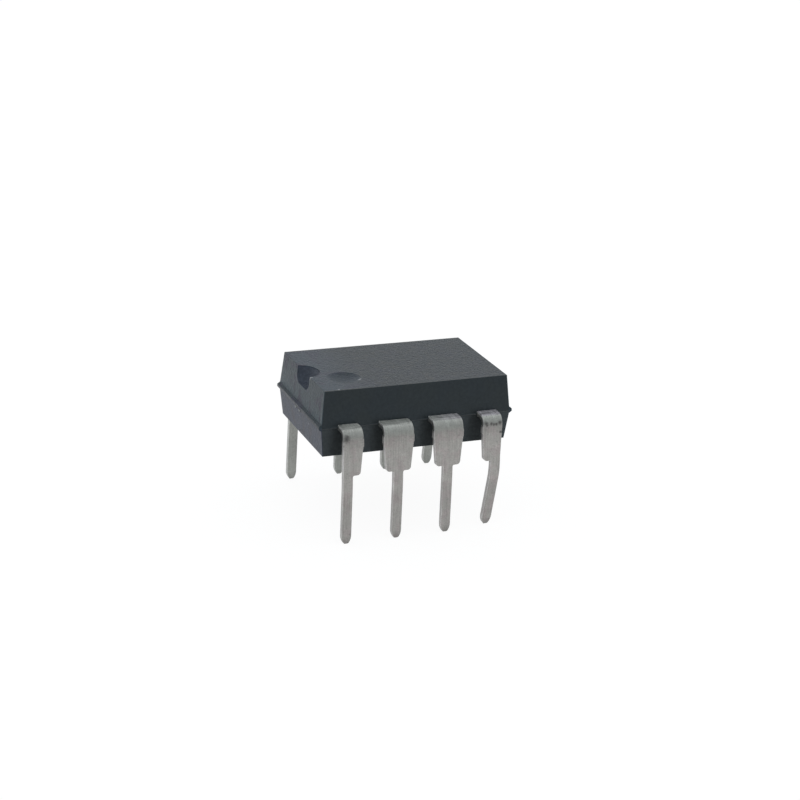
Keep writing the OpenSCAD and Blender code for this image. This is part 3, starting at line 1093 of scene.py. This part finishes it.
@dataclass(frozen=True)
class Resin(Finish):
    """Moulded epoxy resin: near black with a blue cast, matt, with a fine grain, a few dusty specks and
    painted light and shade.
    """

    name: str = "moulded_resin"
    worn: float = 0.0
    colour: tuple = (0.018, 0.022, 0.0245)
    warm: tuple = (0.0205, 0.0235, 0.0225)
    bluish: tuple = (0.037, 0.051, 0.07)
    mauve: tuple = (0.032, 0.032, 0.055)
    brown: tuple = (0.06, 0.05, 0.036)
    # Painted light in the notch: lighter than the resin.
    notch_light: tuple = (0.059, 0.068, 0.092)
    # Painted light in the dish.
    dish_light: tuple = (0.034, 0.044, 0.058)
    # Painted highlight in the notch.
    notch_highlight: tuple = (0.14, 0.15, 0.18)
    # Painted light: the lower half of the body is lighter.
    lower_half_light: tuple = (0.048, 0.055, 0.057)
    # Painted light: the ends are lighter, their lower part bluer.
    end_light: tuple = (0.04, 0.056, 0.066)
    low_end_light: tuple = (0.036, 0.046, 0.08)
    # Painted highlight on the crest of the ridge.
    crest_highlight: tuple = (0.08, 0.085, 0.095)
    rubbed: tuple = (0.05, 0.055, 0.058)
    # Pale colour of dusty specks; on the flecks at the notch's near rim and at the parting of the notched end
    # it is a painted highlight.
    dust_and_glint: tuple = (0.52, 0.53, 0.55)
    specular: tuple = (0.66, 0.8, 0.9)
    warm_patches: Patches = Patches(500, 0.4, 0.62, 0.8)
    brown_patches: Patches = Patches(3000, 0.5, 0.66, 0.55)
    mauve_patches: Patches = Patches(1300, 0.5, 0.62)
    rubbed_patches: Patches = Patches(5000, 0.35, 0.6)
    fine_scale: float = 9000
    coarse_scale: float = 7000
    coarse_contrast: float = 1.1
    dust_scale: float = 2500
    dust_share: float = 0.03
    dust_radius: float = 0.14
    grain_depth: float = 0.006
    top_grain: float = 8.0
    side_grain: float = 0.6
    gloss: float = 0.34
    end_gloss: float = 0.44
    index: float = 1.45
    notch: Hollow = Hollow((-4.84, 0.0), (0.98, 0.94), (7.27, 7.2), 6.52)
    dish: Hollow = Hollow((-2.75, -1.5), (0.8, 0.3), (7.288, 7.27), 7.1)
    sides: tuple = (2.86, 2.93)
    lower_half: tuple = (5.6, 5.35)
    blue_part: tuple = (-1.5, -4.6)
    blue_everywhere: float = 0.2
    ends: tuple = (4.8, 4.82)
    draft: float = 0.1
    parting: float = 5.51
    crest: tuple = (4.935, 4.95)
    # Where the painted highlight in the notch lies, and its radius.
    notch_highlight_spot: tuple = ((-4.0, -0.15, 7.05), 0.95)
    # Painted light and shade up the ends: a dark band on the upper slope of the ridge, lighter resin just
    # above it.
    end_light_and_shade: tuple = (
        (4.05, 1.0), (5.56, 1.0), (5.6, 0.7), (5.69, 0.7), (5.73, 1.6), (6.0, 1.45), (6.5, 1.15),
        (7.29, 1.0),
    )
    # Pale flecks: two dusty specks on the top, painted highlights along the notch's near rim and painted
    # glints of the tie-bar ends at the parting.
    flecks: tuple = (
        ((-2.44, -1.69, 7.29), 0.13), ((-3.91, -2.88, 7.29), 0.08), ((-4.7, -0.97, 7.27), 0.09),
        ((-4.63, -0.93, 7.29), 0.08), ((-4.56, -0.91, 7.29), 0.07), ((-4.7, -0.93, 7.18), 0.06),
        ((-4.83, 0.33, 5.42), 0.1), ((-4.83, -0.21, 5.43), 0.11),
    )

    def end_mask(self, graph: Graph, height: NodeSocket) -> NodeSocket:
        """Builds the mask of the two drafted ends.

        Args:
            graph: the material's graph.
            height: the height.

        Returns:
            The mask.
        """
        along = graph.maths("ABSOLUTE", graph.along("X"))
        apart = graph.maths("ABSOLUTE", graph.maths("SUBTRACT", height, self.parting * MM))
        return graph.between(graph.maths("MULTIPLY_ADD", apart, self.draft, along), self.ends)

    def blue_mask(self, graph: Graph, inside: NodeSocket) -> NodeSocket:
        """Builds the mask of the blue cast, which grows towards the notched end.

        Args:
            graph: the material's graph.
            inside: the mask of all but the long sides.

        Returns:
            The mask.
        """
        part = graph.between(graph.along("X"), self.blue_part)
        base = self.blue_everywhere
        return graph.product(graph.maths("MULTIPLY_ADD", part, 1 - base, base), inside)

    def material(self, effects: Effects) -> Material:
        """Makes the material.

        Args:
            effects: the shared effects.

        Returns:
            The material.
        """
        made, graph, shader = self.start(self.name)
        height = graph.along("Z")
        sides = graph.between(graph.maths("ABSOLUTE", graph.along("Y")), self.sides)
        inside = graph.rest(sides)
        blue = self.blue_mask(graph, inside)
        brown = graph.product(effects.patch(graph, self.brown_patches), inside, graph.rest(blue))
        low = graph.between(height, self.lower_half)
        ends = self.end_mask(graph, height)
        # Painted light: the colour of the lighter ends.
        end_light_colour = graph.layers(self.end_light, (low, self.low_end_light))
        notch = self.notch.mask(graph, height)
        colour = graph.layers(
            self.colour,
            (effects.patch(graph, self.warm_patches), self.warm),
            (brown, self.brown),
            (blue, self.bluish),
            # Painted light: the lower half is lighter.
            (low, self.lower_half_light),
            # Painted light and shade on the ends, by height.
            (ends, graph.toned(end_light_colour, graph.curve(height, self.end_light_and_shade))),
            # Painted highlight on the crest of the ridge.
            (graph.between(graph.maths("ABSOLUTE", graph.along("X")), self.crest), self.crest_highlight),
            (graph.product(effects.patch(graph, self.mauve_patches), blue), self.mauve),
            # Painted light: the inside of the dish is lighter.
            (self.dish.mask(graph, height), self.dish_light),
            # Painted light: the inside of the notch is lighter.
            (notch, self.notch_light),
            # Painted highlight: a pale spot inside the notch.
            (graph.product(effects.marks(graph, (self.notch_highlight_spot,)), notch), self.notch_highlight),
        )
        coarse = graph.effect(effects.grain, scale=self.coarse_scale, contrast=self.coarse_contrast)
        specks = graph.effect(
            effects.specks, scale=self.dust_scale, share=self.dust_share, radius=self.dust_radius
        )
        fine = graph.effect(effects.grain, scale=self.fine_scale, contrast=1)
        depth = graph.maths("MULTIPLY_ADD", sides, self.side_grain - self.top_grain, self.top_grain)
        rough = graph.product(graph.maths("SUBTRACT", fine, 1), depth)
        self.feed(
            graph, shader,
            base_color=graph.layers(
                graph.toned(colour, coarse),
                (graph.product(effects.patch(graph, self.rubbed_patches), self.worn), self.rubbed),
                # Dusty specks, with painted highlights on the listed flecks.
                (effects.marks(graph, self.flecks, graph.product(specks, inside)), self.dust_and_glint),
            ),
            roughness=graph.maths("MULTIPLY_ADD", ends, self.end_gloss - self.gloss, self.gloss),
            specular_tint=self.specular,
            ior=self.index,
            normal=self.bump(graph, rough, self.grain_depth),
        )
        return made


@dataclass(frozen=True)
class Tin(Finish):
    """Dull tin plate on the strip: its faces, its sheared sides or its edges, the sides painted lighter as
    painted light and the edges lighter still as a painted highlight.

    The dark marks are the nick in lead 1 and the cracks of the plating over the bend of lead 4.
    """

    name: str
    colour: tuple = (0.425, 0.415, 0.395)
    reddish: tuple = (0.425, 0.395, 0.385)
    greenish: tuple = (0.385, 0.405, 0.38)
    green_strength: float = 0.8
    violet: tuple = (0.44, 0.425, 0.455)
    violet_part: tuple = (0.0, 2.6)
    pit: tuple = (0.1, 0.097, 0.095)
    gloss: float = 0.5
    metal: float = 0.55
    red_patches: Patches = Patches(2200)
    line_scale: float = 15000
    line_contrast: float = 0.8
    grain_scale: float = 18000
    grain_contrast: float = 0.8
    patch_scale: float = 3500
    patch_contrast: float = 0.35
    flat_scale: float = 9000
    flat_stretch: tuple = (0.12, 1, 0.12)
    flat_contrast: float = 1.6
    pit_scale: float = 6000
    pit_share: float = 0.12
    pit_radius: float = 0.35
    pit_strength: float = 0.4
    relief: float = 0.004
    # Brightness by height: darker at the tip and at the foot of the bend, a painted highlight up the bend and
    # on the flat.
    tones_and_bend_light: tuple = (
        (0.0, 0.72), (0.35, 1.0), (2.2, 1.02), (2.6, 1.12), (3.3, 1.1), (4.1, 1.12), (4.6, 1.06),
        (4.9, 0.94), (5.1, 0.86), (5.26, 0.9), (5.38, 0.98), (5.49, 1.08), (5.53, 1.22), (5.57, 1.38),
        (5.61, 1.36), (5.64, 1.42),
    )
    solder_height: tuple = (3.6, 3.3)
    solder_scale: float = 900
    solder_waves: float = 0.5
    far_side: tuple = (-1.0, 1.0)
    # Painted light: the far row is lighter.
    far_tone: float = 0.12
    bend_height: tuple = (5.0, 5.3)
    flat_height: tuple = (5.56, 5.62)
    inner_depth: tuple = (0.25, 0.5)
    inner_height: tuple = (4.9, 5.2)
    inner_shade: float = 0.0
    marks: tuple = (
        ((-3.86, -4.01, 5.22), 0.28), ((-3.81, -4.01, 5.32), 0.16), ((-4.04, -4.01, 5.38), 0.12),
        ((-4.04, -4.02, 5.12), 0.12), ((-4.04, -4.03, 4.86), 0.1), ((3.26, -4.01, 5.27), 0.18),
        ((3.3, -4.01, 5.19), 0.12), ((3.53, -4.01, 5.24), 0.14), ((3.66, -4.01, 5.2), 0.12),
        ((3.79, -4.01, 5.21), 0.14), ((3.97, -4.01, 5.27), 0.18), ((4.03, -4.03, 4.8), 0.12),
    )

    def tone(self, graph: Graph, height: NodeSocket, far: NodeSocket) -> NodeSocket:
        """Builds how light the plating is along the strip: solder on the leg, darker at the tip and at the
        foot of the bend, and a painted highlight up the bend and on the flat on top.

        Args:
            graph: the material's graph.
            height: the height.
            far: the mask of the far row.

        Returns:
            The factor.
        """
        waves, low = self.solder_waves * MM, graph.between(height, self.solder_height)
        wavy = graph.maths("MULTIPLY_ADD", graph.noise(self.solder_scale, 1), waves, -waves / 2)
        tone = graph.curve(graph.maths("MULTIPLY_ADD", low, wavy, height), self.tones_and_bend_light)
        # Painted light: the far row is lighter.
        return graph.maths("MULTIPLY_ADD", far, self.far_tone, tone)

    def shade(self, graph: Graph, height: NodeSocket) -> NodeSocket:
        """Builds the shade on what lies towards the inner face of the strip, high up by the body.

        Args:
            graph: the material's graph.
            height: the height.

        Returns:
            The factor.
        """
        depth = graph.add("Attribute", {}, attribute_name="depth").outputs["Fac"]
        inner = graph.product(graph.ramp(depth, *self.inner_depth), graph.between(height, self.inner_height))
        return graph.maths("MULTIPLY_ADD", inner, -self.inner_shade, 1)

    def material(self, effects: Effects) -> Material:
        """Makes the material.

        Args:
            effects: the shared effects.

        Returns:
            The material.
        """
        made, graph, shader = self.start(self.name)
        height = graph.along("Z")
        fine = graph.effect(effects.grain, scale=self.grain_scale, contrast=self.grain_contrast)
        soft = graph.effect(effects.grain, scale=self.patch_scale, contrast=self.patch_contrast)
        lines = graph.effect(effects.drawn_lines, scale=self.line_scale, contrast=self.line_contrast)
        flat = graph.between(height, self.flat_height)
        crossing = graph.noise(self.flat_scale, 1, self.flat_stretch)
        crossing = graph.waver(crossing, graph.product(flat, self.flat_contrast))
        bend = graph.between(height, self.bend_height)
        far = graph.between(graph.along("Y"), self.far_side)
        violet = graph.between(graph.along("X"), self.violet_part)
        colour = graph.layers(
            self.colour,
            (effects.patch(graph, self.red_patches), self.reddish),
            (graph.product(graph.maths("MAXIMUM", bend, far), self.green_strength), self.greenish),
            (graph.product(flat, violet, graph.rest(far)), self.violet),
        )
        colour = graph.toned(
            colour, fine, soft, lines, crossing, self.shade(graph, height), self.tone(graph, height, far)
        )
        pits = graph.effect(
            effects.specks, scale=self.pit_scale, share=self.pit_share, radius=self.pit_radius
        )
        dark = effects.marks(graph, self.marks, graph.product(pits, self.pit_strength))
        self.feed(
            graph, shader,
            base_color=graph.layers(colour, (dark, self.pit)),
            metallic=self.metal,
            roughness=graph.product(self.gloss, fine, lines),
            normal=self.bump(graph, graph.maths("ADD", soft, lines), self.relief),
        )
        return made


@dataclass(frozen=True)
class InnerFinish(Finish):
    """A finish of the parts that the resin holds."""

    name: str
    colour: tuple
    metal: float
    gloss: float
    grain_scale: float = 14000
    grain_contrast: float = 0.2
    line_scale: float = 20000
    line_contrast: float = 0.2
    stain: tuple = (0.1, 0.1, 0.1)
    stain_scale: float = 3000
    stained: float = 0.3
    relief: float = 0.002

    def material(self, effects: Effects) -> Material:
        """Makes the material.

        Args:
            effects: the shared effects.

        Returns:
            The material.
        """
        made, graph, shader = self.start(self.name)
        fine = graph.effect(effects.grain, scale=self.grain_scale, contrast=self.grain_contrast)
        lines = graph.effect(effects.drawn_lines, scale=self.line_scale, contrast=self.line_contrast)
        stains = effects.patch(graph, Patches(self.stain_scale, strength=self.stained))
        self.feed(
            graph, shader,
            base_color=graph.layers(graph.toned(self.colour, fine, lines), (stains, self.stain)),
            metallic=self.metal,
            roughness=graph.product(self.gloss, fine, lines),
            normal=self.bump(graph, fine, self.relief),
        )
        return made


@dataclass
class Studio:
    """The white table, the soft lights and the camera at the photograph's viewing angle."""

    focal_pixels: float = 1793.2672
    picture_width: float = 800
    sensor: float = 36
    azimuth: float = -22.2073
    elevation: float = 19.9895
    roll: float = 2.4671
    aim: tuple = (0, 0, 4)
    offset: tuple = (-0.3999, -1.2978, 88.7492)
    clip: tuple = (5, 20000)
    floor_size: float = 4000
    floor_colour: tuple = (0.14, 0.14, 0.14)
    floor_roughness: float = 0.9
    floor_glow: float = 0.915
    sky: float = 0.7
    sky_slope: float = 0.07
    sky_side: tuple = (0.6, 0.7, 0.39)
    sky_colour: tuple = (0.95, 0.98, 1.0)

    def camera(self) -> None:
        """Stands the camera where the photograph was taken from."""
        a, e, r = (math.radians(v) for v in (self.azimuth, self.elevation, self.roll))
        back = Vector((math.sin(a) * math.cos(e), -math.cos(a) * math.cos(e), math.sin(e)))
        level = Vector((math.cos(a), math.sin(a), 0))
        upright = back.cross(level)
        right = level * math.cos(r) + upright * math.sin(r)
        up = upright * math.cos(r) - level * math.sin(r)
        turn = Matrix((right, up, back)).transposed()
        place = Vector(self.aim) + turn @ Vector((-self.offset[0], -self.offset[1], self.offset[2]))
        data = bpy.data.cameras.new("photo_camera")
        data.sensor_width = self.sensor
        data.lens = self.focal_pixels * self.sensor / self.picture_width
        data.clip_start, data.clip_end = metres(self.clip)
        obj = bpy.data.objects.new("photo_camera", data)
        obj.matrix_world = Matrix.Translation(place * MM) @ turn.to_4x4()
        bpy.context.scene.collection.objects.link(obj)
        bpy.context.scene.camera = obj

    def floor(self) -> None:
        """Lays the white table that the tips stand on."""
        half = self.floor_size / 2
        table = Workpiece.plate("table_top", (-half, -half), (half, half), 0)
        made, graph, shader = Finish.start("white_table")
        Finish.feed(
            graph, shader,
            base_color=self.floor_colour,
            roughness=self.floor_roughness,
            specular_ior_level=0,
            emission_color=(1, 1, 1),
            emission_strength=graph.seen(self.floor_glow),
        )
        table.dress(made)

    def lights(self) -> None:
        """Sets the soft white surroundings, a little brighter behind the part and to its right."""
        world = bpy.data.worlds.new("white_room")
        bpy.context.scene.world = world
        world.use_nodes = True
        graph = Graph(world.node_tree)
        inputs = world.node_tree.nodes["Background"].inputs
        way = graph.add("TexCoord", {}).outputs["Generated"]
        side = graph.add("VectorMath", {0: way, 1: self.sky_side}, operation="DOT_PRODUCT").outputs["Value"]
        graph.join(self.sky_colour, inputs["Color"])
        graph.join(graph.maths("MULTIPLY_ADD", side, self.sky_slope, self.sky), inputs["Strength"])


def main() -> None:
    """Builds the studio and the part's pieces in order."""
    logging.basicConfig(level=logging.INFO, format="%(message)s")
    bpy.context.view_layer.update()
    bpy.context.scene.view_settings.view_transform = "Standard"
    studio = Studio()
    studio.camera()
    studio.floor()
    studio.lights()
    effects = Effects()
    body = MouldedBody()
    resin = (Resin(), Resin("moulded_resin_edge", worn=1.0))
    LOG.info("%s", body.build(*(finish.material(effects) for finish in resin)).name)
    tin = (
        Tin("tin_face"),
        # The sheared sides are painted lighter than the faces as painted light, with painted shade on their
        # inner part by the body.
        Tin(
            "tin_sheared_side", colour=(0.55, 0.545, 0.535), reddish=(0.54, 0.52, 0.51),
            greenish=(0.51, 0.52, 0.505), inner_shade=0.6,
        ),
        # The edges are painted much lighter than the faces: a painted highlight.
        Tin(
            "tin_edge", colour=(0.75, 0.74, 0.73), reddish=(0.7, 0.68, 0.68), greenish=(0.66, 0.67, 0.66),
            gloss=0.4,
        ),
    )
    for lead in LeadSet(body).build(*(finish.material(effects) for finish in tin)):
        LOG.info("%s", lead.name)
    wires = [f"bond_wire_{number}" for number in range(1, 9)]
    inner = {
        InnerFinish("bare_frame_alloy", (0.25, 0.265, 0.275), 0.8, 0.55): ["die_pad"],
        InnerFinish("silver_adhesive", (0.5, 0.5, 0.48), 0.3, 0.6, grain_contrast=0.5): ["die_attach"],
        InnerFinish("polished_silicon", (0.14, 0.15, 0.19), 0.5, 0.18, stained=0.1): ["silicon_die"],
        InnerFinish("gold_wire", (0.8, 0.58, 0.22), 1.0, 0.25, stained=0.1): wires,
    }
    for finish, names in inner.items():
        made = finish.material(effects)
        for name in names:
            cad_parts[name].material_slots[0].material = made
            LOG.info("%s", name)


if __name__ == "__main__":
    main()
